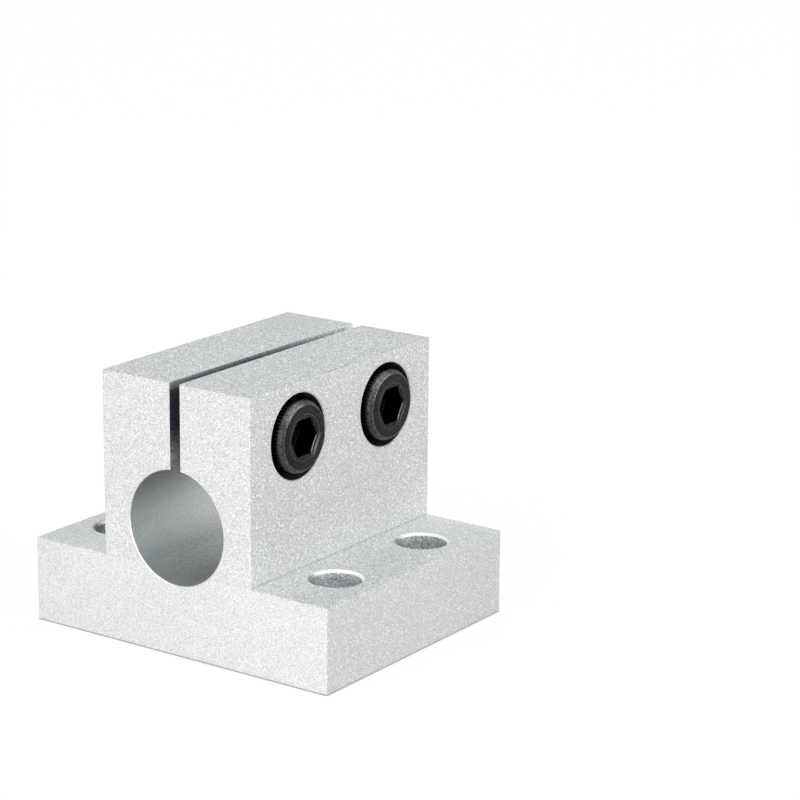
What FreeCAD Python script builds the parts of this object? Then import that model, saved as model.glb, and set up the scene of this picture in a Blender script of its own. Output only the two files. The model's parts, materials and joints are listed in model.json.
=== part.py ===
import FreeCAD, Part
import Sketcher
import os
import re

# Side mount shaft support: a T-shaped aluminium block, bored for a shaft and split down to the bore,
# with two socket head cap screws that draw its jaws together.
# X runs across the foot, Y along the shaft, Z up. The origin is the middle of the underside.

# Driving dimensions in millimetres. Each one is a cell of the sheet.
SIZES = {
    "base_width": 50.0,
    "base_thickness": 12.0,
    "depth": 41.0,
    "upright_width": 25.0,
    "bore_height": 18.0,
    "bore_diameter": 16.0,
    "bore_chamfer": 0.1,
    "slit_width": 1.7,
    "wall_over_bore": 1.2,
    "wall_over_head": 1.6,
    "edge_radius": 0.2,
    "mounting_hole_diameter": 7.0,
    "mounting_hole_pitch": 20.0,
    "mounting_hole_chamfer": 0.45,
    "screw_pitch": 20.0,
    "screw_diameter": 6.0,
    "passing_clearance": 0.3,
    "thread_clearance": 0.05,
    "thread_mouth_chamfer": 0.5,
    "tip_recess": 4.0,
    "tip_chamfer": 0.7,
    "head_diameter": 10.0,
    "head_height": 6.0,
    "head_proud": 1.0,
    "head_clearance": 0.9,
    "head_rim_radius": 0.35,
    "counterbore_chamfer": 0.15,
    "socket_across_flats": 5.0,
    "socket_depth": 3.0,
    "socket_lead_in": 0.3,
    "socket_cone_half_angle": 60.0,
}

# Sizes that follow from the driving ones, written as expressions of the cells.
PASSING_DIAMETER = "(screw_diameter + 2 * passing_clearance)"
TAPPED_DIAMETER = "(screw_diameter + 2 * thread_clearance)"
COUNTERBORE_DIAMETER = "(head_diameter + 2 * head_clearance)"
COUNTERBORE_DEPTH = "(head_height - head_proud)"
SCREW_HEIGHT = f"(bore_height + bore_diameter / 2 + wall_over_bore + {PASSING_DIAMETER} / 2)"
TOP_HEIGHT = f"({SCREW_HEIGHT} + {COUNTERBORE_DIAMETER} / 2 + wall_over_head)"
SCREW_LENGTH = f"(upright_width - {COUNTERBORE_DEPTH} - tip_recess)"
SOCKET_CORNER = "(socket_across_flats / sqrt(3))"
SOCKET_CONE = "tan(socket_cone_half_angle * 1 deg)"

TOUCH = 1e-4

doc = FreeCAD.newDocument("shaft_support")


def fill_sheet():
    """Write each driving dimension into a cell of its own, with its name as the alias."""
    sheet = doc.addObject("Spreadsheet::Sheet", "sizes")
    for row, (name, value) in enumerate(SIZES.items(), start=1):
        sheet.set(f"A{row}", name)
        sheet.set(f"B{row}", str(value))
        sheet.setAlias(f"B{row}", name)
    doc.recompute()
    return sheet


sheet = fill_sheet()


def of_sheet(text):
    """Turn an expression of size names into one that reads the sheet's cells."""
    return re.sub(r"[a-z_]+", lambda word: f"sizes.{word[0]}" if word[0] in SIZES else word[0], text)


def value(text):
    """Work out an expression of size names as a plain number."""
    return float(sheet.evalExpression(of_sheet(text)))


def bind(feature, **expressions):
    """Tie properties of a feature to expressions of size names."""
    for name, text in expressions.items():
        feature.setExpression(name, of_sheet(text))


def new_body(label):
    body = doc.addObject("PartDesign::Body", label)
    body.Label = label
    return body


def origin_feature(body, role):
    return next(item for item in body.Origin.OriginFeatures if item.Role == role)


def new_sketch(body, name, plane, offset="0"):
    """Start a sketch on one of the body's own origin planes, moved along the plane's normal."""
    sketch = body.newObject("Sketcher::SketchObject", name)
    sketch.AttachmentSupport = [(origin_feature(body, plane), "")]
    sketch.MapMode = "FlatFace"
    sketch.setExpression("AttachmentOffset.Base.z", of_sheet(offset))
    return sketch


def pin_point(sketch, geometry, point, across, up):
    """Hold a point of the sketch at two expressions, or on an axis where the expression is 0."""
    for kind, text, axis in (("DistanceX", across, -2), ("DistanceY", up, -1)):
        if text == "0":
            sketch.addConstraint(Sketcher.Constraint("PointOnObject", geometry, point, axis))
        else:
            rule = Sketcher.Constraint(kind, -1, 1, geometry, point, value(text))
            index = sketch.addConstraint(rule)
            sketch.setExpression(f"Constraints[{index}]", of_sheet(text))


def draw_outline(sketch, corners):
    """Draw a closed outline of straight lines through corners given as pairs of expressions."""
    points = [FreeCAD.Vector(value(across), value(up), 0) for across, up in corners]
    first = sketch.GeometryCount
    count = len(points)
    for start, end in zip(points, points[1:] + points[:1]):
        sketch.addGeometry(Part.LineSegment(start, end))
    for index, (across, up) in enumerate(corners):
        line = first + index
        following = first + (index + 1) % count
        sketch.addConstraint(Sketcher.Constraint("Coincident", line, 2, following, 1))
        pin_point(sketch, line, 1, across, up)


def draw_circle(sketch, across, up, diameter):
    """Draw a circle with its centre and diameter tied to expressions."""
    centre = FreeCAD.Vector(value(across), value(up), 0)
    circle = Part.Circle(centre, FreeCAD.Vector(0, 0, 1), value(diameter) / 2)
    index = sketch.addGeometry(circle)
    pin_point(sketch, index, 3, across, up)
    rule = sketch.addConstraint(Sketcher.Constraint("Diameter", index, value(diameter)))
    sketch.setExpression(f"Constraints[{rule}]", of_sheet(diameter))


def cut_volume(body, feature, before):
    """Recompute and make sure that a cutting feature has taken material away."""
    doc.recompute()
    if body.Shape.Volume >= before - TOUCH:
        raise RuntimeError(f"{feature.Name} cuts nothing")


def cut_through(body, sketch, name):
    """Cut a sketch through the whole body, both ways from its plane."""
    before = body.Shape.Volume
    pocket = body.newObject("PartDesign::Pocket", name)
    pocket.Profile = sketch
    pocket.Type = "ThroughAll"
    pocket.SideType = "Symmetric"
    cut_volume(body, pocket, before)
    return pocket


def drill(body, sketch, name, diameter, depth=None, reverse=False):
    """Drill every circle of a sketch, to a depth or right through. Holes go against the normal."""
    doc.recompute()
    hole = body.newObject("PartDesign::Hole", name)
    hole.Profile = sketch
    hole.Threaded = False
    hole.DrillPoint = "Flat"
    hole.Reversed = reverse
    hole.DepthType = "Dimension" if depth else "ThroughAll"
    bind(hole, Diameter=diameter)
    if depth:
        bind(hole, Depth=depth)
    return hole


def mouth(hole, cut_type, **expressions):
    """Widen the mouth of a drilled hole with a counterbore or a countersink."""
    hole.HoleCutType = cut_type
    hole.HoleCutCustomValues = True
    bind(hole, **expressions)


def dress_edges(body, kind, name, wanted, size_name, expression):
    """Fillet or chamfer those edges of the body's last feature that pass a test."""
    doc.recompute()
    base = body.Tip
    edges = base.Shape.Edges
    names = [f"Edge{number}" for number, edge in enumerate(edges, start=1) if wanted(edge)]
    feature = body.newObject(kind, name)
    feature.Base = (base, names)
    bind(feature, **{size_name: expression})
    return feature


def is_ring(edge, radius):
    """Tell whether an edge is a circle, or part of one, of a given radius."""
    if edge.Degenerated:
        return False
    return isinstance(edge.Curve, Part.Circle) and abs(edge.Curve.Radius - radius) < TOUCH


def pad_profile(body):
    """The extruded T: a wide foot with an upright in its middle, square in plan, with broken edges."""
    foot = "base_width / 2"
    side = "upright_width / 2"
    sketch = new_sketch(body, "t_profile", "XZ_Plane")
    draw_outline(sketch, [
        (f"-{foot}", "0"),
        (foot, "0"),
        (foot, "base_thickness"),
        (side, "base_thickness"),
        (side, TOP_HEIGHT),
        (f"-{side}", TOP_HEIGHT),
        (f"-{side}", "base_thickness"),
        (f"-{foot}", "base_thickness"),
    ])
    pad = body.newObject("PartDesign::Pad", "t_bar")
    pad.Profile = sketch
    pad.SideType = "Symmetric"
    bind(pad, Length="depth")

    def outer(edge):
        middle = edge.CenterOfMass
        beside_upright = abs(abs(middle.x) - value(side)) < TOUCH
        on_foot = abs(middle.z - value("base_thickness")) < TOUCH
        return not (beside_upright and on_foot)

    dress_edges(body, "PartDesign::Fillet", "broken_edges", outer, "Radius", "edge_radius")


def bore_and_slit(body):
    """The shaft bore, right through, and the saw slit that opens it to the top."""
    bore = new_sketch(body, "bore_circle", "XZ_Plane")
    draw_circle(bore, "0", "bore_height", "bore_diameter")
    doc.recompute()
    cut_through(body, bore, "shaft_bore")

    half = "slit_width / 2"
    above = f"({TOP_HEIGHT} + edge_radius)"
    slit = new_sketch(body, "slit_outline", "XZ_Plane")
    draw_outline(slit, [
        (f"-{half}", "bore_height"),
        (half, "bore_height"),
        (half, above),
        (f"-{half}", above),
    ])
    doc.recompute()
    cut_through(body, slit, "jaw_slit")

    def bore_rim(edge):
        at_end = abs(abs(edge.CenterOfMass.y) - value("depth / 2")) < TOUCH
        return at_end and is_ring(edge, value("bore_diameter / 2"))

    dress_edges(body, "PartDesign::Chamfer", "bore_lead_in", bore_rim, "Size", "bore_chamfer")


def screw_holes(body):
    """Two crossing holes: counterbored and clear in the near jaw, tapped in the far jaw."""
    face = "upright_width / 2"
    places = ("-screw_pitch / 2", "screw_pitch / 2")

    near = new_sketch(body, "near_jaw_holes", "YZ_Plane", face)
    for place in places:
        draw_circle(near, place, SCREW_HEIGHT, PASSING_DIAMETER)
    before = body.Shape.Volume
    passing = drill(body, near, "near_jaw_drilling", PASSING_DIAMETER, depth=face)
    mouth(passing, "Counterbore", HoleCutDiameter=COUNTERBORE_DIAMETER, HoleCutDepth=COUNTERBORE_DEPTH)
    cut_volume(body, passing, before)

    far = new_sketch(body, "far_jaw_holes", "YZ_Plane", f"-{face}")
    for place in places:
        draw_circle(far, place, SCREW_HEIGHT, TAPPED_DIAMETER)
    before = body.Shape.Volume
    tapped = drill(body, far, "far_jaw_drilling", TAPPED_DIAMETER, depth=face, reverse=True)
    mouth(tapped, "Countersink", HoleCutDiameter=f"{TAPPED_DIAMETER} + 2 * thread_mouth_chamfer")
    cut_volume(body, tapped, before)

    def counterbore_rim(edge):
        on_face = abs(edge.CenterOfMass.x - value(face)) < TOUCH
        return on_face and is_ring(edge, value(COUNTERBORE_DIAMETER) / 2)

    dress_edges(body, "PartDesign::Chamfer", "counterbore_lead_in", counterbore_rim, "Size",
                "counterbore_chamfer")


def mounting_holes(body):
    """Four holes down through the foot, in the middle of its two ledges, with broken mouths."""
    ledge_middle = "(base_width + upright_width) / 4"
    sketch = new_sketch(body, "mounting_circles", "XY_Plane", "base_thickness")
    for side in ("-", ""):
        for end in ("-", ""):
            place = f"{end}mounting_hole_pitch / 2"
            draw_circle(sketch, f"{side}{ledge_middle}", place, "mounting_hole_diameter")
    before = body.Shape.Volume
    holes = drill(body, sketch, "mounting_drilling", "mounting_hole_diameter")
    mouth(holes, "Countersink", HoleCutDiameter="mounting_hole_diameter + 2 * mounting_hole_chamfer")
    cut_volume(body, holes, before)


def make_clamp_block():
    body = new_body("clamp_block")
    pad_profile(body)
    bore_and_slit(body)
    screw_holes(body)
    mounting_holes(body)
    return body


def turn_screw(body):
    """The turned form: head and shank about X, with the seat under the head at x = 0."""
    radius = "screw_diameter / 2"
    sketch = new_sketch(body, "turned_profile", "XZ_Plane")
    draw_outline(sketch, [
        (f"-{SCREW_LENGTH}", "0"),
        ("head_height", "0"),
        ("head_height", "head_diameter / 2"),
        ("0", "head_diameter / 2"),
        ("0", radius),
        (f"-{SCREW_LENGTH} + tip_chamfer", radius),
        (f"-{SCREW_LENGTH}", f"{radius} - tip_chamfer"),
    ])
    turned = body.newObject("PartDesign::Revolution", "turned_blank")
    turned.Profile = sketch
    turned.ReferenceAxis = (origin_feature(body, "X_Axis"), [""])
    turned.Angle = 360

    def head_rim(edge):
        on_top = abs(edge.CenterOfMass.x - value("head_height")) < TOUCH
        return on_top and is_ring(edge, value("head_diameter / 2"))

    dress_edges(body, "PartDesign::Fillet", "head_rim", head_rim, "Radius", "head_rim_radius")


def sink_socket(body):
    """The hexagon socket, two of its corners level, with a conical lead-in and a conical floor."""
    corner = SOCKET_CORNER
    flat = "socket_across_flats / 2"
    hexagon = new_sketch(body, "socket_hexagon", "YZ_Plane", "head_height")
    draw_outline(hexagon, [
        (corner, "0"),
        (f"{corner} / 2", flat),
        (f"-{corner} / 2", flat),
        (f"-{corner}", "0"),
        (f"-{corner} / 2", f"-{flat}"),
        (f"{corner} / 2", f"-{flat}"),
    ])
    doc.recompute()
    before = body.Shape.Volume
    socket = body.newObject("PartDesign::Pocket", "hexagon_socket")
    socket.Profile = hexagon
    bind(socket, Length="socket_depth")
    cut_volume(body, socket, before)

    rim = f"({corner} + socket_lead_in)"
    floor = "head_height - socket_depth"
    cones = new_sketch(body, "socket_cones", "XZ_Plane")
    draw_outline(cones, [
        (f"head_height - {rim} / {SOCKET_CONE}", "0"),
        ("head_height", "0"),
        ("head_height", rim),
    ])
    draw_outline(cones, [
        (f"{floor} - {flat} / {SOCKET_CONE}", "0"),
        (floor, "0"),
        (floor, flat),
    ])
    doc.recompute()
    before = body.Shape.Volume
    groove = body.newObject("PartDesign::Groove", "socket_turning")
    groove.Profile = cones
    groove.ReferenceAxis = (origin_feature(body, "X_Axis"), [""])
    groove.Angle = 360
    cut_volume(body, groove, before)


def make_clamp_screw(label, along):
    body = new_body(label)
    turn_screw(body)
    sink_socket(body)
    bind(body, **{
        "Placement.Base.x": f"upright_width / 2 - {COUNTERBORE_DEPTH}",
        "Placement.Base.y": along,
        "Placement.Base.z": SCREW_HEIGHT,
    })
    return body


sub_parts = [
    make_clamp_block(),
    make_clamp_screw("front_clamp_screw", "-screw_pitch / 2"),
    make_clamp_screw("rear_clamp_screw", "screw_pitch / 2"),
]
doc.recompute()

failed = [item.Name for item in doc.Objects if {"Invalid", "Error"} & set(item.State)]
if failed:
    raise RuntimeError(f"failed features: {failed}")
for sub_part in sub_parts:
    shape = sub_part.Shape
    if shape.isNull() or not shape.isValid() or len(shape.Solids) != 1:
        raise RuntimeError(f"{sub_part.Label} is not one valid solid")

os.makedirs("parts", exist_ok=True)
for sub_part in sub_parts:
    box = sub_part.Shape.BoundBox
    sub_part.Shape.exportStep(f"parts/{sub_part.Label}.step")
    print(f"{sub_part.Label}: {sub_part.Shape.Volume:.1f} mm3, "
          f"x {box.XMin:.2f} to {box.XMax:.2f}, y {box.YMin:.2f} to {box.YMax:.2f}, "
          f"z {box.ZMin:.2f} to {box.ZMax:.2f}")
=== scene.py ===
# %% [markdown]
# # A side mount shaft support
#
# The real object is a T-shaped block of aluminium that grips a round shaft. It is blasted with
# fine beads and clear anodised, so it sparkles faintly, and two black cap screws close its slit.
# The block, the holes and the screws' places are fixed by the packed model. This lesson gives
# the block its finish, models the screws with knurl, socket and thread, and sets up the studio.

# %% Load the fixed frame
import json
import math

import bpy
import numpy as np
from mathutils import Matrix, Vector


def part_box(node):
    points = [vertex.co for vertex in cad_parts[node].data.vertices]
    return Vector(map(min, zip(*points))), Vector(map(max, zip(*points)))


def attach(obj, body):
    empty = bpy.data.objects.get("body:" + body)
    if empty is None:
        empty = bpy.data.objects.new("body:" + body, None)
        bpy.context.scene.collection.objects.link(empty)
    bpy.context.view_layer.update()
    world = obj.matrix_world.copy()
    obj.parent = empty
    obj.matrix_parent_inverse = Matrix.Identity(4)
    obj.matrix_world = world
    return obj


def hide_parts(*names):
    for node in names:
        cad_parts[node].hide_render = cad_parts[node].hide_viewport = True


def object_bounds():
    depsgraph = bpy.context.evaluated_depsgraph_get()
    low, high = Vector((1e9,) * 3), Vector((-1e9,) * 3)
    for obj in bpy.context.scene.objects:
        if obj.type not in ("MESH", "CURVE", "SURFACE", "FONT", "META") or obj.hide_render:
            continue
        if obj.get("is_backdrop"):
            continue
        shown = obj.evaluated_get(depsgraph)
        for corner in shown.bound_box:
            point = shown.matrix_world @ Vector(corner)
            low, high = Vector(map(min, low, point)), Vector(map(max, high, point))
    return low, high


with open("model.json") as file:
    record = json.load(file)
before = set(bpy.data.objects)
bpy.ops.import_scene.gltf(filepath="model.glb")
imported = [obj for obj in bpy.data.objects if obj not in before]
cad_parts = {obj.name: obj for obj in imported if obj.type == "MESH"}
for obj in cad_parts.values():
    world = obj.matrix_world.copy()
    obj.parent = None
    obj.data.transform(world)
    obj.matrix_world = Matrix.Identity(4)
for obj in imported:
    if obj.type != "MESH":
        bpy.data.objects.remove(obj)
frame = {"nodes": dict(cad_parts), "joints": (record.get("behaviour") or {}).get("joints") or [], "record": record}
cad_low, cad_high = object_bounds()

MM = 0.001
scene = bpy.context.scene
scene.view_settings.view_transform = "Standard"
print("nodes:", sorted(frame["nodes"]), "box:", tuple(cad_low), tuple(cad_high))

# %% [markdown]
# ## Where things are
#
# A pattern that follows a hole has to know where the hole is. The record's mounts give the bore
# and the bolt pattern, the joints give the screws' axes, and the nodes' boxes give the rest, so
# no place is typed in twice and a change of the model moves the finish with it.

# %% Read the places from the frame
mounts = {mount["name"]: mount for mount in frame["record"]["mounts"]}
bore_height = mounts["shaft_bore"]["pos_m"][2]
bore_radius = mounts["shaft_bore"]["dims"]["r_mm"] * MM
bolts = mounts["foot_bolts"]["dims"]
bolt_across = bolts["spacing_x_mm"] * MM / 2
bolt_along = bolts["spacing_y_mm"] * MM / 2
bolt_radius = bolts["hole_r_mm"] * MM
ledge_height = mounts["foot_bolts"]["pos_m"][2]

screw_seats = {joint["child"]: Vector(joint["pos_m"]) for joint in frame["joints"]}
seat_x, screw_along, screw_height = screw_seats["rear_screw"]
screw_low, screw_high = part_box("rear_clamp_screw")
head_radius = (screw_high.z - screw_low.z) / 2
head_top = screw_high.x
screw_tip = screw_low.x
end_face = cad_high.y
top_face = cad_high.z
print(f"bore radius {bore_radius / MM:.1f} mm, axis at height {bore_height / MM:.1f} mm")
print(f"head radius {head_radius / MM:.1f} mm, mounting hole radius {bolt_radius / MM:.1f} mm")

# %% [markdown]
# ## Shader sums as plain Python
#
# A finish is a sum of masks and patterns. Drawn as nodes it is a web, but written as a formula it
# is a line. `Value` wraps one output of the node tree, and its operators add the Math nodes. Every
# other node comes from `add`, which sets the node up first and then fills or links its sockets.

# %% A node output that can be calculated with
class Value:
    """One output socket. Arithmetic on it adds Math nodes to the same tree."""

    def __init__(self, tree, socket=None):
        self.tree = tree
        self.socket = socket

    def add(self, kind, settings=None, inputs=None, output=0):
        """Add a node: its settings first, then the values or links of its sockets."""
        node = self.tree.nodes.new(kind)
        for name, setting in (settings or {}).items():
            setattr(node, name, setting)
        for name, filling in (inputs or {}).items():
            if isinstance(filling, Value):
                self.tree.links.new(filling.socket, node.inputs[name])
            else:
                node.inputs[name].default_value = filling
        if isinstance(output, tuple):
            return [Value(self.tree, node.outputs[name]) for name in output]
        return Value(self.tree, node.outputs[output]) if node.outputs else None

    def math(self, operation, *others):
        """Add a Math node that works on this value and the others."""
        terms = dict(enumerate((self, *others)))
        return self.add("ShaderNodeMath", {"operation": operation}, terms)

    def __add__(self, other):
        return self.math("ADD", other)

    def __sub__(self, other):
        return self.math("SUBTRACT", other)

    def __rsub__(self, other):
        return self.add("ShaderNodeMath", {"operation": "SUBTRACT"}, {0: other, 1: self})

    def __mul__(self, other):
        return self.math("MULTIPLY", other)

    def __truediv__(self, other):
        return self.math("DIVIDE", other)

    def __pow__(self, other):
        return self.math("POWER", other)

    def __abs__(self):
        return self.math("ABSOLUTE")

    __radd__ = __add__
    __rmul__ = __mul__


print("operators:", [name for name in vars(Value) if name.startswith("__")])

# %% [markdown]
# Three sums come back in every finish: the distance from an axis, a smooth step from one value to
# another, and a band between two values. They are worth a name of their own. Colours can't go
# through Math nodes, which would turn them grey, so two more helpers blend and shade them.

# %% Sums that masks are made of
def distance(first, second):
    """The length of a pair of coordinates: the root of the sum of their squares."""
    return (first * first + second * second) ** 0.5


def step(value, start, end):
    """Go smoothly from 0 at start to 1 at end. The end may be the smaller one."""
    inputs = {
        "Value": value,
        "From Min": min(start, end),
        "From Max": max(start, end),
        "To Min": float(start > end),
        "To Max": float(start < end),
    }
    return value.add("ShaderNodeMapRange", {"interpolation_type": "SMOOTHSTEP"}, inputs)


def band(value, low, high, soft):
    """1 between low and high, fading to 0 over a soft margin on both sides."""
    return step(value, low - soft, low) * step(value, high + soft, high)


def mix(factor, first, second):
    """Blend two colours. Sockets 6 and 7 are the Mix node's colours, and output 2 is its colour."""
    inputs = {0: factor, 6: first, 7: second}
    return factor.add("ShaderNodeMix", {"data_type": "RGBA"}, inputs, output=2)


def shade(colour, tone):
    """Multiply a colour by a number, as a vector. A written colour loses its fourth part."""
    inputs = {0: colour if isinstance(colour, Value) else colour[:3], "Scale": tone}
    return tone.add("ShaderNodeVectorMath", {"operation": "SCALE"}, inputs)


print("sums:", [helper.__name__ for helper in (distance, step, band, mix, shade)])

# %% [markdown]
# A finish also needs something that varies by chance. Photographs of metal could supply it, but
# they would need a flat map and would show their seams. Cells and noise are worked out from the
# place in space, so they run on round every edge of the part.

# %% Patterns
def cells(place, size):
    """Three random numbers from 0 to 1 for each cell of a given size."""
    inputs = {"Vector": place, "Scale": 1 / size, "Randomness": 1.0}
    colour = place.add("ShaderNodeTexVoronoi", {"feature": "F1"}, inputs, output="Color")
    parts = ("Red", "Green", "Blue")
    return colour.add("ShaderNodeSeparateColor", inputs={0: colour}, output=parts)


def noise(place, size, detail=2.0):
    """Soft noise from 0 to 1 with features of a given size."""
    inputs = {"Vector": place, "Scale": 1 / size, "Detail": detail}
    return place.add("ShaderNodeTexNoise", inputs=inputs, output="Fac")


def stretch(place, x, y, z):
    """Scale the pattern's coordinates. A small number draws the pattern out along that axis."""
    return place.add("ShaderNodeMapping", inputs={"Vector": place, "Scale": (x, y, z)})


def bump(height, depth, strength):
    """Turn a height from 0 to 1 into a tilted normal. The depth is the real height of a 1."""
    inputs = {"Height": height, "Distance": depth, "Strength": strength}
    return height.add("ShaderNodeBump", inputs=inputs)


print("patterns:", [helper.__name__ for helper in (cells, noise, stretch, bump)])

# %% [markdown]
# A material has two ends. It starts from the place on the object and the direction it faces, and
# it ends in one Principled shader. Generated coordinates would stretch with the box of each piece,
# while Object coordinates are in metres, so that a grain has the same size everywhere.

# %% The two ends of a material
def new_material(name):
    """Start an empty material, and give the place on the object and the direction it faces."""
    material = bpy.data.materials.new(name)
    material.use_nodes = True
    material.node_tree.nodes.clear()
    place, facing = Value(material.node_tree).add("ShaderNodeTexCoord", output=("Object", "Normal"))
    return material, place, facing


def end_material(place, inputs):
    """End a material with one Principled shader."""
    surface = place.add("ShaderNodeBsdfPrincipled", inputs=inputs)
    place.add("ShaderNodeOutputMaterial", inputs={"Surface": surface})


def split(vector):
    """The three parts of a vector."""
    return vector.add("ShaderNodeSeparateXYZ", inputs={0: vector}, output=("X", "Y", "Z"))


print("materials start with", new_material.__name__, "and end with", end_material.__name__)

# %% [markdown]
# ## The blasted aluminium
#
# Bead blasting leaves a skin of tiny dents. Each dent is a small mirror that points its own way,
# so a face is an even grey made of darker and lighter grains, with a white spark here and there.
# A photograph could supply that, but a cell pattern needs no picture: every cell gets a random
# number, the number shades the grain, and the few highest cells are painted as glints, white specks
# in the colour.
#
# The skin isn't the same all over. The two ends were milled before blasting, so they are finer and
# hardly spark. The faces that lie level sparkle most, and the far ledges are calm. Over the skin,
# light and shade are painted: the ledges, most of all the far ones, the nook between ledge and
# upright, the level faces and the foot's milled ends are painted lighter, as painted light, and the
# foot's rear half is painted darker, as painted shade.

# %% Regions of the skin
UPRIGHT_HALF = 12.5 * MM
ALONG_AXIS = (0.8, 0.98)
NOOK_REACH = 9 * MM
LEDGE_FADE = (1.5 * ledge_height, 1.2 * ledge_height)
FOOT_FADE = (ledge_height, ledge_height - 0.5 * MM)
HIDDEN_SIDE = (0.9 * -UPRIGHT_HALF, -UPRIGHT_HALF)
SCREW_SIDE = (0, 20 * MM)
REAR = (2 * MM, 16 * MM)
FAR_END = (8 * MM, 16 * MM)
CALM_TOP = (-1 * MM, -6 * MM)


def skin_regions(place, facing):
    """Masks, by name, of the faces whose grain, painted glints and painted light and shade differ.

    A face belongs to an axis where its normal's part along that axis is close to 1. The nook is a
    distance from the inner corner, and the other regions are steps along x, y or z.
    """
    x, y, z = split(place)
    _, facing_y, facing_z = split(facing)
    milled = step(abs(facing_y), *ALONG_AXIS)
    level = step(facing_z, *ALONG_AXIS)
    ledges = level * step(z, *LEDGE_FADE)
    top = level - ledges
    rear = step(y, *REAR)
    from_nook = distance(abs(x) - UPRIGHT_HALF, z - ledge_height)
    calm_ledges = ledges * step(x, *HIDDEN_SIDE).math("MAXIMUM", step(y, *FAR_END))
    return {
        "milled": milled,
        "level": level,
        "ledges": ledges,
        "top": top,
        "foot": step(z, *FOOT_FADE),
        "nook": step(from_nook, NOOK_REACH, 1 * MM) * (1 - 0.8 * milled),
        "rear": rear,
        "screw_side": step(x, *SCREW_SIDE),
        "calm": calm_ledges + top * rear * step(x, *CALM_TOP),
    }


print(f"upright {2 * UPRIGHT_HALF / MM} mm wide, nook paler within {NOOK_REACH / MM} mm")

# %% Skin
SKIN = (0.591, 0.596, 0.598, 1)
GRAIN = 0.085 * MM
LUMP = 0.16 * MM
CLOUD = 6.0 * MM
SPARKING = (0.86, 0.94)
MEAN_TONE = 0.965
GRAIN_SHARE = 0.55
LUMP_SHARE = 0.10
SPARK_SHARE = 0.43


def blasted_skin(place, on):
    """The tone, about 1, the painted glints and the height of the dents.

    The tone is a mean plus the grain's and the lump's random numbers, taken about their middle,
    plus the painted glints. A contrast multiplies all three, by region, and the painted light and
    shade of the regions multiplies the tone.
    """
    grain, pick, _ = cells(place, GRAIN)
    lump, power, _ = cells(place, LUMP)
    cloud = noise(place, CLOUD)
    # Painted glints: the brightest cells lighten the colour where a dent would catch the light.
    painted_glints = step(power, *SPARKING) * (0.3 + 0.7 * pick) * (1 - 0.9 * on["milled"])
    uneven = (1 - 0.6 * on["milled"]) * (lump - 0.5)
    grains = (GRAIN_SHARE + 0.1 * cloud - 0.13 * on["top"]) * (grain - 0.5)
    grains = grains + LUMP_SHARE * uneven + (SPARK_SHARE + 0.15 * on["top"]) * painted_glints
    contrast = (1 + 0.6 * on["level"] - 0.25 * on["foot"]) * (1 - 0.5 * on["calm"])
    tone = MEAN_TONE + contrast * grains + 0.03 * cloud
    return tone * painted_light_and_shade(on), painted_glints, 0.65 * grain + 0.35 * lump


def painted_light_and_shade(on):
    """A number close to 1 that paints light and shade: over it as painted light on the ledges, the
    nook, the level faces and the foot's milled ends, and under it as painted shade on the foot's
    rear half.
    """
    # Painted light: the ledges, the nook, the level faces and the milled foot are made lighter.
    painted_paler = (0.10 + 0.05 * on["rear"]) * on["ledges"] + 0.10 * on["nook"] + 0.04 * on["level"]
    painted_paler = painted_paler + (0.03 + 0.025 * on["screw_side"]) * on["foot"] * on["milled"]
    # Painted shade: the foot's rear half, where it is not level, is made darker.
    return 1 + painted_paler - 0.035 * on["rear"] * on["foot"] * (1 - on["level"])


print(f"grain {GRAIN / MM} mm, lumps {LUMP / MM} mm, clouds {CLOUD / MM} mm")

# %% [markdown]
# The block has other surfaces too. The bore is reamed. The slit is sawn; above the bore it is
# painted dark, as painted shade, and its upper lips go from grey to pale towards the rear end, where
# they reach deeper. The mounting holes' mouths are broken to bare metal round most of each mouth, and
# on the remaining side painted shade comes up to the ledge. The screw holes are painted dark, as
# painted shade, the inner corner is darker along a thin line, and one hairline runs along the upper
# edge.
#
# The faces could be picked by hand and given materials of their own, but then each border would be
# hard. A mask worked out from the place alone needs no picking and can have a soft border.

# %% Masks of the bore and the slit
EDGE = 0.04 * MM
SLIT_HALF = 0.85 * MM
BORE_CHAMFER = 0.1 * MM
BORE_MOUTH = 0.11 * MM
LIT_QUARTERS = (-0.1, 0.35)
SHADE_HEIGHTS = (27.3 * MM, 32.2 * MM)
SHADE_FADES = 36.2 * MM
LIPS_LOW = 1.2 * MM
LIPS_HIGH = 0.6 * MM
LIPS_DEEPER = 1.5 * MM
TOWARDS_REAR_END = (-3 * MM, 19 * MM)


def bore_and_slit_masks(place):
    """Masks of the bore and the painted highlight on its mouth, and of the slit, its painted shade
    and its pale lips.

    The bore is a distance from its axis, and the slit a distance from the middle plane above it.
    The mouth is bare metal, but it is painted bright only on two opposite quarters of its ring, where
    x and the height above the axis have the same sign, as a painted highlight.
    """
    x, y, z = split(place)
    from_bore = distance(x, z - bore_height)
    ring = band(from_bore, bore_radius + EDGE, bore_radius + BORE_MOUTH, EDGE)
    at_end = step(abs(y), end_face - 1.5 * BORE_CHAMFER, end_face - BORE_CHAMFER)
    quarters = x * (z - bore_height) / bore_radius**2
    # The lips grow lighter, and reach deeper, towards the rear end.
    towards_rear_end = step(y, *TOWARDS_REAR_END)
    return {
        "bore": step(from_bore, bore_radius + EDGE, bore_radius),
        "bore_mouth": ring * at_end * step(quarters, *LIT_QUARTERS),
        "slit": step(abs(x), SLIT_HALF + EDGE, SLIT_HALF)
        * step(z, bore_height, bore_height + bore_radius),
        # Painted shade: the slit is painted dark above the bore, a little less near the top.
        "stain": step(z, *SHADE_HEIGHTS) * (1 - 0.6 * step(z, SHADE_FADES, top_face)),
        "lips": step(z + LIPS_DEEPER * towards_rear_end, top_face - LIPS_LOW, top_face - LIPS_HIGH),
        "lips_blown": towards_rear_end,
    }


print(f"slit {2 * SLIT_HALF / MM} mm wide, darkened from {SHADE_HEIGHTS[0] / MM:.1f} mm up")

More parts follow.
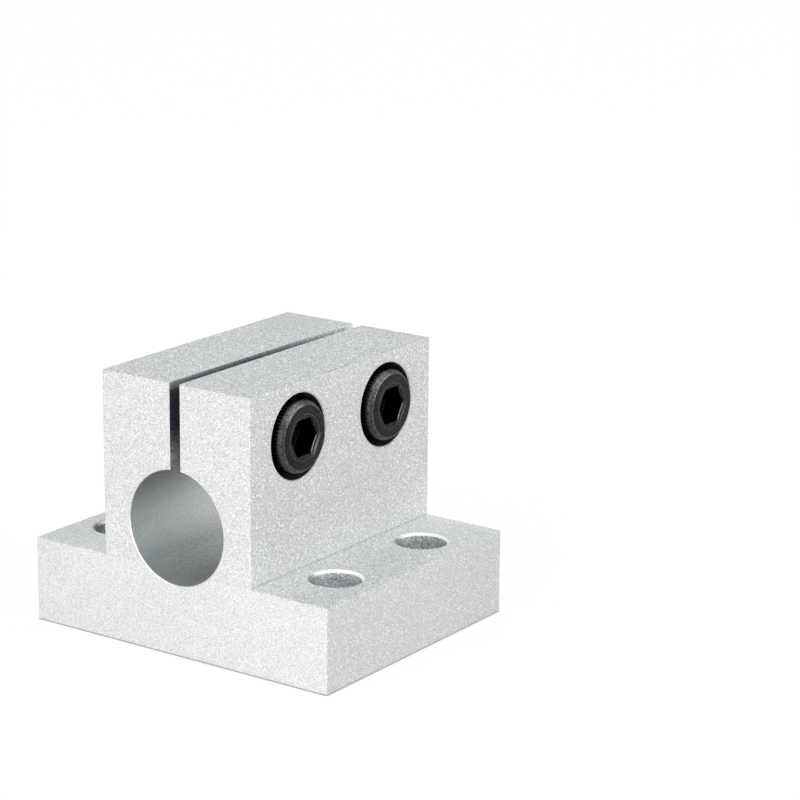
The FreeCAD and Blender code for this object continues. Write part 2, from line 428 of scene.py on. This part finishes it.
# %% Masks of the mounting holes
BOLT_MOUTH = 0.45 * MM
BOLT_SHADE = 0.25 * MM
BOLT_DEPTH = 6 * MM
LIT_SIDE = math.radians(35)
SHADE_ARC = (-0.6, -0.97)
MOUTH_ARC = (-0.95, -0.65)


def mounting_hole_masks(place):
    """Masks of the mounting holes' walls, their side of painted shade and their depth, and their
    broken mouths.

    The signs of x and y fold all four holes onto one. A cosine gives the angle from the lit side:
    opposite that side the bare broken mouth is left out, and the wall's painted shade comes up to the
    ledge.
    """
    x, y, z = split(place)
    bolt_x = (abs(x) - bolt_across) * x.math("SIGN")
    bolt_y = (abs(y) - bolt_along) * y.math("SIGN")
    from_bolt = distance(bolt_x, bolt_y)
    towards_lit = (math.cos(LIT_SIDE) * bolt_x + math.sin(LIT_SIDE) * bolt_y) / from_bolt
    shaded = step(towards_lit, *SHADE_ARC)
    ring = band(from_bolt, bolt_radius + EDGE, bolt_radius + 0.7 * BOLT_MOUTH, 2 * EDGE)
    at_ledge = step(z, ledge_height - BOLT_MOUTH - EDGE, ledge_height - BOLT_MOUTH)
    return {
        # Painted shade: on the side away from the light, the dark wall reaches up to the ledge.
        "bolt": step(from_bolt - BOLT_SHADE * shaded, bolt_radius + EDGE, bolt_radius),
        "bolt_mouth": ring * at_ledge * step(towards_lit, *MOUTH_ARC),
        "bolt_shade": shaded,
        "bolt_depth": step(z, ledge_height, ledge_height - BOLT_DEPTH),
    }


print(f"holes broken by {BOLT_MOUTH / MM} mm, lit to {math.degrees(LIT_SIDE):.0f} degrees")

# %% Masks of the screw holes and the small marks
COUNTERBORE_RADIUS = 5.9 * MM
SCREW_HOLE_RADIUS = 3.35 * MM
TAPPED_MOUTH = 3.55 * MM
TAPPED_SIDE = (0.9 * -UPRIGHT_HALF, 0.92 * -UPRIGHT_HALF)
CORNER_DARKER = (0.25 * MM, 0.05 * MM)
HAIRLINE_ACROSS = (UPRIGHT_HALF - 0.15 * MM, UPRIGHT_HALF - 0.08 * MM, EDGE)
HAIRLINE_ALONG = (-3.6 * MM, 1.4 * MM, 0.4 * MM)
HAIRLINE_UP = (top_face - 0.3 * MM, top_face - 0.2 * MM)


def screw_hole_masks(place):
    """Masks of the counterbores, the holes in both jaws and the tapped holes' bright mouths."""
    x, y, z = split(place)
    from_screw = distance(abs(y) - screw_along, z - screw_height)
    return {
        "counterbore": step(from_screw, COUNTERBORE_RADIUS + EDGE, COUNTERBORE_RADIUS)
        * step(x, seat_x - 2 * EDGE, seat_x - EDGE),
        "screw_hole": step(from_screw, SCREW_HOLE_RADIUS + EDGE, SCREW_HOLE_RADIUS)
        * step(abs(x), SLIT_HALF + EDGE, SLIT_HALF + 2 * EDGE),
        "tapped_mouth": band(from_screw, SCREW_HOLE_RADIUS + EDGE, TAPPED_MOUTH, EDGE)
        * step(x, *TAPPED_SIDE),
    }


def mark_masks(place):
    """Masks of the darker line in the inner corner and of the hairline along the upper edge."""
    x, y, z = split(place)
    hairline = band(x, *HAIRLINE_ACROSS) * band(y, *HAIRLINE_ALONG) * step(z, *HAIRLINE_UP)
    from_corner = distance(abs(x) - UPRIGHT_HALF, z - ledge_height)
    return {"corner": step(from_corner, *CORNER_DARKER), "hairline": hairline}


mask_makers = (bore_and_slit_masks, mounting_hole_masks, screw_hole_masks, mark_masks)
print("masks:", [maker.__name__ for maker in mask_makers])

# %% [markdown]
# Reaming leaves a smooth wall with faint bands along the shaft. Light and shade are painted on it:
# the upper half, which faces down, is painted darker as painted shade, and a pale stripe low down
# is a painted reflection, strongest at the mouths, where the lower half shows a bluish painted
# reflection. A darker stroke runs above the stripe, and the very bottom is darker too. Patches turn
# it a little warmer, mostly towards the top. All of this could be painted by hand, but the height
# above the axis and the distance from the end already say where each of them belongs.

# %% The reamed bore
BORE_COOL = (0.735, 0.762, 0.764, 1)
BORE_WARM = (0.752, 0.755, 0.740, 1)
MOUTH_REFLECTION = (0.90, 0.97, 1.0, 1)
BANDS = 3.0 * MM
PATCHES = 4.5 * MM
BORE_TONE = 1.092
UPPER_HALF = (-0.05, 0.8)
LOWER_HALF = (-0.1, -0.8)
LOW = (-0.5, -0.9)
REFLECTION_STRIPE = (-0.93, -0.79, 0.06)
STRIPE_AT_MOUTHS = (5.5 * MM, 3 * MM)
STROKE = (-0.77, -0.70, 0.05)
STROKE_FROM = (5 * MM, 8 * MM)
DARKER_BOTTOM = (-0.96, -0.99)
DARKER_BOTTOM_FROM = (2 * MM, 5 * MM)
BLUISH_MOUTH = (6 * MM, 1 * MM)
WARM_PATCHES = (0.35, 0.65)


def painted_bore_light(height, deep):
    """The bore's painted light and shade: 1 and a bit low down, less in the upper half as painted
    shade, plus a pale stripe as a painted reflection, minus a darker stroke and a darker bottom.

    The height is measured from the axis in radii, and deep is the distance from the nearer end.
    """
    # Painted reflection: a pale stripe low down, twice as strong near the mouths.
    reflection_stripe = band(height, *REFLECTION_STRIPE) * (1 + step(deep, *STRIPE_AT_MOUTHS))
    stroke = band(height, *STROKE) * step(deep, *STROKE_FROM)
    darker_bottom = step(height, *DARKER_BOTTOM) * step(deep, *DARKER_BOTTOM_FROM)
    # Painted shade: the upper half, which faces down, is darker.
    tone_by_height = BORE_TONE - 0.40 * step(height, *UPPER_HALF) - 0.015 * step(height, *LOW)
    return tone_by_height + 0.045 * reflection_stripe - 0.05 * stroke - 0.06 * darker_bottom


def reamed_bore(place, mottle):
    """A cool or warm grey, by patches, times the painted light and shade, the bands, the patches and
    the grain, and a bluish painted reflection low down at the mouths.
    """
    _, y, z = split(place)
    height = (z - bore_height) / bore_radius
    deep = end_face - abs(y)
    bands = noise(stretch(place, 1, 0.06, 1), BANDS)
    patches = noise(stretch(place, 1, 0.5, 1), PATCHES)
    grain = (0.7 + 0.9 * step(height, *LOW)) * (mottle - 0.5)
    tone = painted_bore_light(height, deep) + 0.2 * (bands - 0.5) + 0.16 * (patches - 0.5) + grain
    tint = mix(step(patches + 0.2 * height, *WARM_PATCHES), BORE_COOL, BORE_WARM)
    # Painted reflection: low down near the mouths the wall turns bluish.
    mouth = step(deep, *BLUISH_MOUTH) * step(height, *LOWER_HALF)
    return mix(mouth, shade(tint, tone), shade(MOUTH_REFLECTION, 0.65 + 0.6 * mottle))


print(f"bore: bands {BANDS / MM} mm and patches {PATCHES / MM} mm across")

# %% [markdown]
# A saw tears the metal, so the slit is gritty. Shading it with the skin's grain would make it look
# blasted, so it gets coarser and stronger cells of its own. A drill leaves a dull, rough wall that
# lies in the shade near its mouth. For it the skin's own grain serves, three times as strong.

# %% The sawn slit and the drilled holes
SLIT_SAWN = (0.40, 0.405, 0.405, 1)
SLIT_SHADE = (0.075, 0.086, 0.113, 1)
LIPS = (0.345, 0.365, 0.37, 1)
LIPS_PALE = (0.745, 0.765, 0.77, 1)
BOLT_MOUTH_WALL = (0.53, 0.545, 0.56, 1)
BOLT_DEEP_WALL = (0.83, 0.855, 0.87, 1)
GRIT = 0.15 * MM


def sawn_slit(place, mottle, cut):
    """Sawn grey, painted dark above the bore as painted shade, and over it the lips, which go from
    grey to pale along the bore.
    """
    grit = cells(place, GRIT)[2]
    sawn = shade(mix(cut["stain"], SLIT_SAWN, SLIT_SHADE), 0.1 + 0.9 * mottle + 0.9 * grit)
    lips = shade(mix(cut["lips_blown"], LIPS, LIPS_PALE), 0.5 + 0.4 * mottle + 0.6 * grit)
    return mix(cut["lips"], sawn, lips)


def drilled_hole(tone, cut):
    """The mounting holes' wall: the skin's grain three times as strong, darker at the mouth."""
    wall = mix(cut["bolt_depth"], BOLT_MOUTH_WALL, BOLT_DEEP_WALL)
    return shade(shade(wall, 3.0 * tone - 2.0), 1 - 0.4 * cut["bolt_shade"])


print(f"grit in the slit {GRIT / MM} mm across")

# %% [markdown]
# Now the layers go over each other like coats of paint: the skin first, then each cut surface where
# its mask says so. One material with masks was chosen, because the packed block is one mesh with
# one slot. Reamed and bare metal is smoother than blasted metal, so the masks also steer the
# roughness and flatten the dents.

# %% Finish of the block
BARE = (0.97, 0.97, 0.97, 1)
BROKEN = (0.86, 0.86, 0.86, 1)
HOLE_SHADE = (0.07, 0.07, 0.073, 1)
MOTTLE = 0.2 * MM
DENT_DEPTH = 0.016 * MM
BLASTED_ROUGHNESS = 0.78


def blasted_aluminium():
    """Skin first, then each cut surface over it by its mask."""
    material, place, facing = new_material("blasted_aluminium_finish")
    tone, painted_glints, dents = blasted_skin(place, skin_regions(place, facing))
    mottle = noise(place, MOTTLE, 1.0)
    cut = {}
    for make_masks in mask_makers:
        cut.update(make_masks(place))

    colour = mix(cut["bore"], shade(SKIN, tone), reamed_bore(place, mottle))
    colour = mix(cut["slit"], colour, sawn_slit(place, mottle, cut))
    colour = mix(cut["bolt"], colour, drilled_hole(tone, cut))
    # Painted shade: the counterbores and the holes through the jaws are painted dark.
    screw_hole = cut["counterbore"].math("MAXIMUM", cut["screw_hole"])
    colour = mix(screw_hole, colour, shade(HOLE_SHADE, tone))
    # Bare metal: the tapped mouths all round, and the bore's mouth on two quarters as a painted highlight.
    bare = cut["bore_mouth"].math("MAXIMUM", cut["tapped_mouth"])
    colour = mix(bare, colour, BARE)
    # The bare broken mouths, left out on the side of painted shade.
    colour = mix(cut["bolt_mouth"], colour, shade(BROKEN, 0.8 + 0.4 * mottle))
    # The inner corner is darker along a thin line, and the hairline is dark.
    colour = shade(colour, 1 - 0.16 * cut["corner"] - 0.3 * cut["hairline"])

    smooth = cut["bore"].math("MAXIMUM", bare)
    end_material(place, {
        "Base Color": colour,
        "Metallic": 1 - 0.75 * cut["bolt_mouth"],
        "Roughness": BLASTED_ROUGHNESS - 0.2 * painted_glints * (1 - smooth) - 0.38 * smooth,
        "Normal": bump(dents * (1 - smooth), DENT_DEPTH, 0.5),
    })
    return material


block = frame["nodes"]["clamp_block"]
block.data.materials[0] = blasted_aluminium()
print("block:", len(block.data.materials[0].node_tree.nodes), "nodes in its finish")

# %% [markdown]
# ## The cap screws
#
# A cap screw is forged and rolled: a knurled head with a rounded rim, a hexagon socket with a
# conical lead-in, and a shank with a rolled thread. A drawn outline could be spun, but knurl,
# hexagon and thread change with the angle. So the skin is worked out as a grid: one parameter walks
# along the outline from the tip to the floor of the socket, the other goes round. Each stretch of
# the outline gives its place along the axis and its radius for every angle at once, in millimetres
# from the seat under the head.

# %% The two grid parameters
KNURL_TEETH = 60
POINTS_PER_TOOTH = 4
AROUND = POINTS_PER_TOOTH * KNURL_TEETH
angle = np.linspace(0, 2 * np.pi, AROUND, endpoint=False)


def rows(places, radii):
    """Spread outline points over all angles, as an array of rows by angles by place and radius."""
    places, radii = np.atleast_1d(places), np.atleast_1d(radii)
    places = places if places.ndim == 2 else places[:, None]
    radii = radii if radii.ndim == 2 else radii[:, None]
    return np.stack(np.broadcast_arrays(places, radii, angle[None, :])[:2], axis=2)


print(AROUND, "points round the axis for", KNURL_TEETH, "teeth")

# %% [markdown]
# The thread is rolled: dies press a groove into the shank that climbs by one pitch in each turn. A
# Screw modifier could sweep it, but would leave its ends open. On the grid it is enough to ask, for
# each place and angle, how far away the nearest crest is.

# %% The threaded shank
PITCH = 1.0
THREAD_DEPTH = 0.6134 * PITCH
CREST_SHARE = 1 / 16
FLANK_SHARE = 5 / 16
SHANK_RADIUS = 2.98
TIP_CHAMFER = 0.7
RUN_OUT = 1.5
ROWS_PER_TURN = 10


def thread(length):
    """The shank from its tip, where a flat crest, straight flanks and a flat root take turns.

    A crest follows place = pitch times turn, plus half a pitch, so the distance from a crest is the
    place minus that, within one pitch. A cone cuts the tip, and the grooves fade out at the head.
    """
    place = np.linspace(-length, 0, int(length / PITCH) * ROWS_PER_TURN + 1)[:, None]
    turn = angle[None, :] / (2 * np.pi)
    from_crest = np.abs((place / PITCH - turn) % 1 - 0.5)
    groove = np.clip((from_crest - CREST_SHARE) / FLANK_SHARE, 0, 1) * THREAD_DEPTH
    fade = np.clip(-place / RUN_OUT, 0, 1)
    cone = SHANK_RADIUS - TIP_CHAMFER + place + length
    return rows(place, np.minimum(SHANK_RADIUS - groove * fade, cone))


print(f"thread: pitch {PITCH} mm, depth {THREAD_DEPTH:.2f} mm")

# %% [markdown]
# The head is knurled for the fingers: straight grooves run up its side and die out before the rim,
# which the forging rounds. Cutting the grooves with as many cutters would be slow. Here the radius
# goes down and up again once for each tooth.

# %% The knurled head and its rim
KNURL_DEPTH = 0.17
KNURL_FADE = 0.45
KNURL_STOP = 0.7
RIM_ACROSS = 0.54
RIM_ALONG = 1.0
RIM_SWEEP = (8, 62)
RIM_ROWS = 14
SIDE_ROWS = 24
UNDER_CHAMFER = 0.3


def knurled_head(radius, height):
    """The head's side and its rounded rim, cut by straight grooves that fade out at both ends.

    The rim is an arc of an ellipse that stops short, so that a crease rings the flat top. Round the
    head the groove's depth goes down and up again in straight lines, once for each tooth.
    """
    straight = np.linspace(UNDER_CHAMFER, height - RIM_ALONG, SIDE_ROWS)
    sweep = np.radians(np.linspace(*RIM_SWEEP, RIM_ROWS))
    along = np.sin(sweep) / np.sin(sweep[-1])
    across = (1 - np.cos(sweep)) / (1 - np.cos(sweep[-1]))
    place = np.concatenate([straight, height - RIM_ALONG * (1 - along)])[:, None]
    side = np.full(SIDE_ROWS, radius)
    outline = np.concatenate([side, radius - RIM_ACROSS * across])[:, None]
    from_ends = np.minimum(place - UNDER_CHAMFER, height - KNURL_STOP - place)
    half = POINTS_PER_TOOTH / 2
    groove = KNURL_DEPTH * np.abs(np.arange(AROUND) % POINTS_PER_TOOTH - half)[None, :] / half
    return rows(place, outline - groove * np.clip(from_ends / KNURL_FADE, 0, 1))


print(f"knurl {KNURL_DEPTH} mm deep, rim {RIM_ACROSS} mm by {RIM_ALONG} mm")

# %% [markdown]
# The socket is punched into the head, with a shallow cone that leads the key in and a conical
# floor. A boolean could cut it, but would leave long, thin faces. Pulling the rings of the grid out
# to six flats keeps the skin in one piece.

# %% The hexagon socket
ACROSS_FLATS = 5.0
SOCKET_DEPTH = 3.0
LEAD_IN = 0.32
LEAD_IN_SLOPE = math.tan(math.radians(15))
FLOOR_SLOPE = math.tan(math.radians(30))
FLOOR_RINGS = [0.66, 0.33]
WALL_ROWS = 6


def socket_skin(height):
    """The socket from its lead-in circle: a cone, six flats and a conical floor.

    A flat lies half the width from the axis, so at an angle from the flat's middle the wall's
    radius is that half width over the cosine. The cone meets the wall where their radii agree.
    """
    from_middle = angle % (np.pi / 3) - np.pi / 6
    wall = ACROSS_FLATS / 2 / np.cos(from_middle)[None, :]
    mouth = ACROSS_FLATS / math.sqrt(3) + LEAD_IN
    meets = height - (mouth - wall) * LEAD_IN_SLOPE
    floor = height - SOCKET_DEPTH
    down = np.linspace(0, 1, WALL_ROWS)[:, None]
    inwards = np.array(FLOOR_RINGS)[:, None]
    walls = rows(meets * (1 - down) + floor * down, wall)
    floors = rows(floor - (1 - inwards) * wall * FLOOR_SLOPE, wall * inwards)
    deepest = floor - ACROSS_FLATS / 2 * FLOOR_SLOPE
    return np.concatenate([rows(height, mouth), walls, floors]), deepest


print(f"socket {ACROSS_FLATS} mm across its flats, {SOCKET_DEPTH} mm deep")

# %% [markdown]
# The stretches are now laid end to end. Then the grid becomes a mesh: two neighbours in one ring
# and two in the next make a square, and a fan of triangles closes each end.

# %% The whole outline
TIP_RINGS = [0.8, 1.6]
TOP_RINGS = np.array([0.45, 0.9])
UNDER_FILLET = 0.22


def screw_outline():
    """All stretches from the tip's middle to the socket's floor, and where the two ends close."""
    length = (seat_x - screw_tip) / MM
    height = (head_top - seat_x) / MM
    radius = head_radius / MM
    flat = radius - RIM_ACROSS
    socket, floor = socket_skin(height)
    skin = np.concatenate([
        rows([-length, -length], TIP_RINGS),
        thread(length),
        rows([0, 0], [SHANK_RADIUS + UNDER_FILLET, radius - UNDER_CHAMFER]),
        knurled_head(radius, height),
        rows([height, height], flat - TOP_RINGS),
        socket,
    ])
    return skin, -length, floor


outline = screw_outline()
print(len(outline[0]), "rings from the tip to the socket's floor")

# %% From the outline to a mesh
SHARP = math.radians(28)


def wrap(name, skin, start, end, centre):
    """Turn rows of places and radii into a closed mesh about the X axis through a centre."""
    count = len(skin)
    place, radius = skin[..., 0], skin[..., 1]
    rings = np.stack([place, radius * np.cos(angle), radius * np.sin(angle)], axis=2)
    ends = [[start, 0, 0], [end, 0, 0]]
    points = np.concatenate([rings.reshape(-1, 3), ends]) * MM + np.array(centre)
    column = np.arange(AROUND)
    after = np.roll(column, -1)
    row = np.arange(count - 1)[:, None] * AROUND
    above = row + AROUND
    quads = np.stack([row + column, row + after, above + after, above + column], axis=2)
    last = (count - 1) * AROUND
    start_fan = np.stack([np.full(AROUND, count * AROUND), after, column], axis=1)
    end_fan = np.stack([np.full(AROUND, count * AROUND + 1), last + column, last + after], axis=1)
    mesh = bpy.data.meshes.new(name)
    faces = quads.reshape(-1, 4).tolist() + start_fan.tolist() + end_fan.tolist()
    mesh.from_pydata(points, [], faces)
    mesh.polygons.foreach_set("use_smooth", np.ones(len(mesh.polygons), bool))
    mesh.set_sharp_from_angle(angle=SHARP)
    piece = bpy.data.objects.new(name, mesh)
    scene.collection.objects.link(piece)
    return piece


print("edges stay sharp from", round(math.degrees(SHARP)), "degrees")

# %% [markdown]
# Black oxide is a thin dark skin on steel. It is satin, a little brown where it is thin, and worn
# paler on the rim. Painted highlights lie on the rim's upper side, along the crease round the flat
# top, and on one side of the socket's lead-in and the hexagon's edge there. One side of the head is
# painted darker as painted shade, the grooves of the knurl and the inside of the socket are painted
# black as painted shade, and the socket's floor glints in its corner. A painted map would need
# unwrapping, but radius, depth and side give each place.

# %% Masks of the heads
FLAT_RADIUS = head_radius - RIM_ACROSS * MM
LIT_FLAT = math.radians(-30)
HIGHLIGHT_SIDE = math.radians(118)
SHADE_SIDE_ANGLE = math.radians(195)
HAIR = 0.02 * MM
STREAK = 0.06
CREASE_HALF = 0.03 * MM
TOP_OF_HEAD = (2.2 * MM, 1.2 * MM)
RIM_DOWN = (2.2 * MM, 0.35 * MM)
LEAD_IN_DOWN = (0.3 * MM, 0.27 * MM)
SOCKET_WALL = (2.95 * MM, 2.9 * MM)
SOCKET_DOWN = (0.3 * MM, 0.5 * MM)
GROOVE_DOWN = (0.9 * MM, 1.1 * MM)
EDGE_HIGHLIGHT_AT = (2.45 * MM, 2.6 * MM, 0.05 * MM)
LEAD_IN_HIGHLIGHT_AT = (2.98 * MM, 3.2 * MM, 0.14 * MM)
MOUTH_AT = (3.17 * MM, 3.24 * MM, 0.03 * MM)
CORNER_AT = (2.9 * MM, 3.0 * MM, 0.03 * MM)


def head_masks(place):
    """Masks on a head, by name. The sign of y folds both screws onto one.

    A side is an angle round the axis, and a point lies towards it by its two coordinates times the
    angle's cosine and sine. Over the radius, that is 1 on the side itself.
    """
    x, y, z = split(place)
    sign = y.math("SIGN")
    along, up = (abs(y) - screw_along) * sign, z - screw_height
    radius = distance(along, up)
    below_top = head_top - x

    def towards(side):
        return math.cos(side) * along + math.sin(side) * up

    around = place.add("ShaderNodeCombineXYZ", inputs={1: along / radius, 2: up / radius})
    towards_highlight = towards(HIGHLIGHT_SIDE) / radius
    # Wear streaks, with a painted highlight on the upper side of the rim.
    wear = 0.16 + 0.3 * noise(around, STREAK) + 0.5 * step(towards_highlight, 0.86, 1.0)
    rim = band(radius, FLAT_RADIUS + HAIR, head_radius, HAIR)
    on_head = step(below_top, *TOP_OF_HEAD)
    crease = band(radius, FLAT_RADIUS - CREASE_HALF, FLAT_RADIUS + CREASE_HALF, CREASE_HALF)
    to_flat = towards(LIT_FLAT)
    lead_in = step(to_flat / radius, 0.84, 0.97) * step(below_top, *LEAD_IN_DOWN)
    inside = step(radius, *SOCKET_WALL) * step(below_top, *SOCKET_DOWN)
    groove = step(radius, head_radius - HAIR, head_radius - 4 * HAIR)
    groove = groove * step(below_top, *GROOVE_DOWN)
    return {
        # Painted shade: one side of the head is darker.
        "dull": step(towards(SHADE_SIDE_ANGLE) / radius, 0.3, 1.0) * on_head,
        "rubbed": rim * step(below_top, *RIM_DOWN),
        # Painted shade: the rim is a little darker on its front side.
        "wear": wear - 0.12 * step(along / radius, -0.8, -1.0),
        "crease": crease * on_head,
        # Painted highlight: the crease is brightest on the upper side.
        "crease_worn": step(towards_highlight, 0.75, 0.97),
        # Painted highlights on the lit side: a line on the hexagon's edge and a band on the lead-in.
        "worn_edge": lead_in * band(to_flat, *EDGE_HIGHLIGHT_AT),
        "key_worn": lead_in * band(to_flat, *LEAD_IN_HIGHLIGHT_AT) * (0.65 - 0.35 * sign),
        "mouth": band(radius, *MOUTH_AT) * on_head,
        # Painted shade: the inside of the socket and the knurl's grooves near the top.
        "black": inside.math("MAXIMUM", groove),
        "corner": inside * band(below_top, *CORNER_AT),
    }


print(f"flat top of radius {FLAT_RADIUS / MM:.2f} mm inside the crease")

# %% Finish of the screws
OXIDE = (0.010, 0.0096, 0.011, 1)
OXIDE_THIN = (0.031, 0.0295, 0.032, 1)
RECESS_SHADE = (0.002, 0.002, 0.0025, 1)
RIM_WEAR_AND_SHEEN = (0.24, 0.24, 0.245, 1)
CREASE_HIGHLIGHT = (0.30, 0.30, 0.305, 1)
MOUTH_LINE = (0.10, 0.10, 0.10, 1)
CORNER_GLINT = (0.06, 0.06, 0.06, 1)
EDGE_HIGHLIGHT = (0.22, 0.22, 0.22, 1)
LEAD_IN_HIGHLIGHT = (0.16, 0.135, 0.13, 1)
OXIDE_MOTTLE = 0.4 * MM
OXIDE_SPECK = 0.14 * MM
SPECK_DEPTH = 0.008 * MM


def black_oxide():
    """Mottled dark steel, then the worn rim, the painted highlights and the painted shade over it by
    their masks.
    """
    material, place, _ = new_material("black_oxide_finish")
    mottle = noise(place, OXIDE_MOTTLE, 4.0)
    specks = cells(place, OXIDE_SPECK)[0]
    on = head_masks(place)
    colour = mix(step(mottle, 0.3, 0.75), OXIDE, OXIDE_THIN)
    # Painted shade on one side of the head.
    colour = shade(colour, 1 - 0.4 * on["dull"])
    # The rim: worn paler, with a painted highlight and a little painted shade.
    colour = mix(on["rubbed"] * on["wear"], colour, RIM_WEAR_AND_SHEEN)
    # Painted highlight along the crease round the flat top.
    crease = on["crease"] * (0.05 + 0.3 * mottle + 0.6 * on["crease_worn"])
    colour = mix(crease, colour, CREASE_HIGHLIGHT)
    colour = mix(on["mouth"] * mottle, colour, MOUTH_LINE)
    # Painted highlights on the lead-in and on the hexagon's edge.
    colour = mix(on["key_worn"], colour, LEAD_IN_HIGHLIGHT)
    colour = mix(on["worn_edge"], colour, EDGE_HIGHLIGHT)
    # Painted shade in the socket and in the knurl's grooves.
    colour = mix(on["black"], colour, RECESS_SHADE)
    colour = mix(on["corner"] * mottle, colour, CORNER_GLINT)
    end_material(place, {
        "Base Color": shade(colour, 0.4 + 1.2 * specks),
        "Metallic": 1.0,
        "Roughness": 0.36 + 0.2 * mottle + 0.15 * on["rubbed"],
        "Normal": bump(0.5 * specks + mottle, SPECK_DEPTH, 0.5),
    })
    return material


oxide = black_oxide()
print("screws:", len(oxide.node_tree.nodes), "nodes in their finish")

# %% [markdown]
# Each screw takes the place of the plain solid of the same screw. It rides on the body that turns
# it and gets the black oxide finish.

# %% Both screws
for body, node in (("front_screw", "front_clamp_screw"), ("rear_screw", "rear_clamp_screw")):
    piece = wrap(f"{body}_with_thread", *outline, screw_seats[body])
    piece.data.materials.append(oxide)
    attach(piece, body)
    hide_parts(node)
    print(piece.name, len(piece.data.polygons), "faces")

# %% [markdown]
# ## The studio
#
# The part stands on a white sheet under soft light. The sheet could be made white by strong lamps,
# but they would bleach the metal too. So the sheet glows white only for rays that look at it or
# mirror it, the lamps stay at a plain level, and the metal shows its own grey. The glow gives no
# light, so it isn't sampled as a lamp. Where the part meets the sheet, a thin dark line shows.

# %% Floor
FLOOR_REACH = 6.0
CONTACT = 0.35 * MM
CONTACT_SAMPLES = 8
GLOW_SHARE = 0.85
SHEET = (0.99, 0.99, 0.99, 1)


def looking(tree):
    """1 for rays that look at the picture or mirror it, 0 for rays that gather light."""
    kinds = ("Is Camera Ray", "Is Glossy Ray", "Is Transmission Ray")
    seen, mirrored, passed = Value(tree).add("ShaderNodeLightPath", output=kinds)
    return seen.math("MAXIMUM", mirrored.math("MAXIMUM", passed))


def white_sheet():
    """A matt sheet, with a white glow for looking rays that dims where the part is close."""
    material, place, _ = new_material("white_sheet")
    material.cycles.emission_sampling = "NONE"
    settings = {"samples": CONTACT_SAMPLES}
    openness = place.add("ShaderNodeAmbientOcclusion", settings, {"Distance": CONTACT}, output="AO")
    light = {"Color": shade((1, 1, 1), openness), "Strength": 1.0}
    glow = place.add("ShaderNodeEmission", inputs=light)
    matt = place.add("ShaderNodeBsdfDiffuse", inputs={"Color": SHEET})
    share = GLOW_SHARE * looking(material.node_tree)
    mixed = place.add("ShaderNodeMixShader", inputs={0: share, 1: matt, 2: glow})
    place.add("ShaderNodeOutputMaterial", inputs={"Surface": mixed})
    return material


floor_mesh = bpy.data.meshes.new("floor")
floor_corners = np.array([(-1, -1, 0), (1, -1, 0), (1, 1, 0), (-1, 1, 0)]) * FLOOR_REACH
floor_mesh.from_pydata(floor_corners, [], [(0, 1, 2, 3)])
floor_mesh.materials.append(white_sheet())
floor = bpy.data.objects.new("floor", floor_mesh)
scene.collection.objects.link(floor)
floor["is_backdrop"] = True
print("sheet:", 2 * FLOOR_REACH, "m wide")

# %% [markdown]
# A plain sky, faintly cool, lights the part evenly from all round, and two flat lamps shape it: the
# key from the front, a little to the right, and the fill from the side of the screw heads. Spots
# would make hard shadows, while wide, low boxes light the upright faces and hardly the top.

# %% Sky
SKY = (0.965, 0.992, 1.0, 1)

world = bpy.data.worlds.new("white_studio")
scene.world = world
world.use_nodes = True
world.node_tree.nodes.clear()
air = Value(world.node_tree)
sky = air.add("ShaderNodeBackground", inputs={"Color": SKY, "Strength": 1.0})
air.add("ShaderNodeOutputWorld", inputs={"Surface": sky})
print("sky:", SKY[:3])


# %% Lamps
def direction(azimuth, elevation):
    """The direction away from the part at an angle round from the front and one up, in degrees."""
    turn, lift = math.radians(azimuth), math.radians(elevation)
    level = math.cos(lift)
    return Vector((math.sin(turn) * level, -math.cos(turn) * level, math.sin(lift)))


def soft_box(name, azimuth, elevation, away, wide, tall, power, colour):
    """A flat lamp that looks at the bore from a direction and a distance."""
    lamp = bpy.data.lights.new(name, "AREA")
    lamp.shape = "RECTANGLE"
    lamp.size = wide
    lamp.size_y = tall
    lamp.energy = power
    lamp.color = colour
    holder = bpy.data.objects.new(name, lamp)
    holder.visible_camera = False
    scene.collection.objects.link(holder)
    backwards = direction(azimuth, elevation)
    holder.location = Vector((0, 0, bore_height)) + away * backwards
    holder.rotation_euler = backwards.to_track_quat("Z", "Y").to_euler()


soft_box(
    "key_lamp", azimuth=7, elevation=4, away=0.35,
    wide=0.32, tall=0.07, power=1.04, colour=(1.0, 0.965, 0.94),
)
soft_box(
    "fill_lamp", azimuth=100, elevation=9, away=0.8,
    wide=0.7, tall=0.16, power=2.2, colour=(1.0, 0.966, 0.99),
)

# %% [markdown]
# ## The camera
#
# The view was measured from the part's corners: a long lens, a little above the part, about two
# fifths of the way round from its front to its side. The part stands left of and below the middle
# of the picture. A lens shift could put it there, but other views would keep the shift, so the
# camera itself is moved sideways and up.

# %% Camera
AZIMUTH = 34.884
ELEVATION = 15.315
ROLL = math.radians(0.5735)
DISTANCE = 393.50 * MM
AIM = Vector((0, 0, 19.0 * MM))
MOVE_RIGHT = 18.017 * MM
MOVE_UP = 11.819 * MM
LENS = 127.71

back = direction(AZIMUTH, ELEVATION)
sideways = direction(AZIMUTH + 90, 0)
upright = back.cross(sideways)
right = math.cos(ROLL) * sideways + math.sin(ROLL) * upright
up = math.cos(ROLL) * upright - math.sin(ROLL) * sideways
stand = AIM + DISTANCE * back + MOVE_RIGHT * right + MOVE_UP * up
camera = bpy.data.objects.new("camera", bpy.data.cameras.new("camera"))
camera.data.lens = LENS
camera.matrix_world = Matrix.Translation(stand) @ Matrix((right, up, back)).transposed().to_4x4()
scene.collection.objects.link(camera)
scene.camera = camera
print("camera at", [round(value / MM, 1) for value in stand], "mm")

# %% [markdown]
# ## Size
#
# A finish must not change the size of a part that others fit theirs to. Both boxes, of the plain
# part and of the dressed one, are measured so that they can be compared.

# %% Size of the dressed part
new_low, new_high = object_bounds()
grown = max(0, *(cad_low - new_low), *(new_high - cad_high))
print(f"the dressed part stands {grown / MM:.3f} mm out of the plain one's box")
